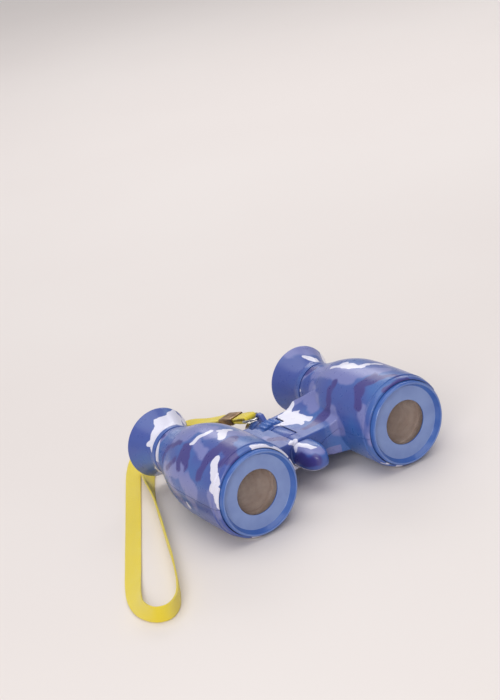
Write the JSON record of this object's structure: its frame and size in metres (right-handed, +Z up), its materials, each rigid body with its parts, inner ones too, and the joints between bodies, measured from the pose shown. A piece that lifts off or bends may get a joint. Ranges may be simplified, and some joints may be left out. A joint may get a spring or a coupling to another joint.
{
  "type": "toy binoculars",
  "caption": "Child's moulded plastic binoculars with a folding bridge, centre focus wheel, flared eyecups and a flat ribbon lanyard.",
  "frame": {"origin": "on the table, under the middle of the binoculars' box, without the lanyard", "axes": "+Z up, the objectives face -Y, and the left barrel, as its user holds it, is at +X"},
  "size_m": [0.1598, 0.1331, 0.038],
  "materials": {
    "body_plastic": "glossy moulded plastic printed with a blue, violet and white camouflage",
    "ring_plastic": "satin light blue",
    "tube_plastic": "matt taupe",
    "lens": "clear",
    "steel": "bright",
    "bronze": "brown bronze",
    "ribbon": "woven yellow ribbon"
  },
  "bodies": {
    "left_half": {"left_barrel_top": "body_plastic", "left_barrel_bottom": "body_plastic", "left_shell_screw_1": "steel", "left_shell_screw_2": "steel", "left_objective_ring": "ring_plastic", "left_objective_lens": "lens", "left_lens_tube": "tube_plastic", "hinge_pin": "steel", "hinge_nose": "body_plastic", "strap_ring": "steel", "strap_tab": "ribbon", "strap_crimp": "bronze", "strap": "ribbon"},
    "right_half": {"right_barrel_top": "body_plastic", "right_barrel_bottom": "body_plastic", "right_shell_screw_1": "steel", "right_shell_screw_2": "steel", "right_objective_ring": "ring_plastic", "right_objective_lens": "lens", "right_lens_tube": "tube_plastic"},
    "focus_wheel_body": {"focus_wheel": "ring_plastic", "focus_screw": "steel", "focus_end_stop": "steel", "focus_washer": "steel"},
    "focus_carriage": {"focus_bush": "body_plastic"},
    "left_eyepiece": {"left_eyepiece_tube": "body_plastic", "left_eye_lens": "lens", "left_eye_lens_ring": "ring_plastic", "left_eyecup": "body_plastic", "left_focus_arm": "body_plastic"},
    "right_eyepiece": {"right_eyepiece_tube": "body_plastic", "right_eye_lens": "lens", "right_eye_lens_ring": "ring_plastic", "right_eyecup": "body_plastic", "right_focus_arm": "body_plastic"}
  },
  "joints": [
    {"name": "fold", "type": "hinge", "parent": "left_half", "child": "right_half", "pos_m": [0, -0.0025, 0.0142], "axis": [0, 1, 0], "range_deg": [0, 36]},
    {"name": "focus_turn", "type": "hinge", "parent": "left_half", "child": "focus_wheel_body", "pos_m": [0, 0.0081, 0.0142], "axis": [0, 1, 0], "range_deg": [0, 216]},
    {"name": "focus_slide", "type": "slide", "parent": "left_half", "child": "focus_carriage", "axis": [0, 1, 0], "range_m": [0, 0.003]},
    {"name": "left_eyepiece_slide", "type": "slide", "parent": "left_half", "child": "left_eyepiece", "axis": [0, 1, 0], "range_m": [0, 0.003]},
    {"name": "right_eyepiece_slide", "type": "slide", "parent": "right_half", "child": "right_eyepiece", "axis": [0, 1, 0], "range_m": [0, 0.003]}
  ],
  "couplings": [
    {"joint": "focus_turn", "follows": "focus_slide", "rad_per_m": 1256.6},
    {"joint": "left_eyepiece_slide", "follows": "focus_slide", "ratio": 1},
    {"joint": "right_eyepiece_slide", "follows": "focus_slide", "ratio": 1}
  ]
}
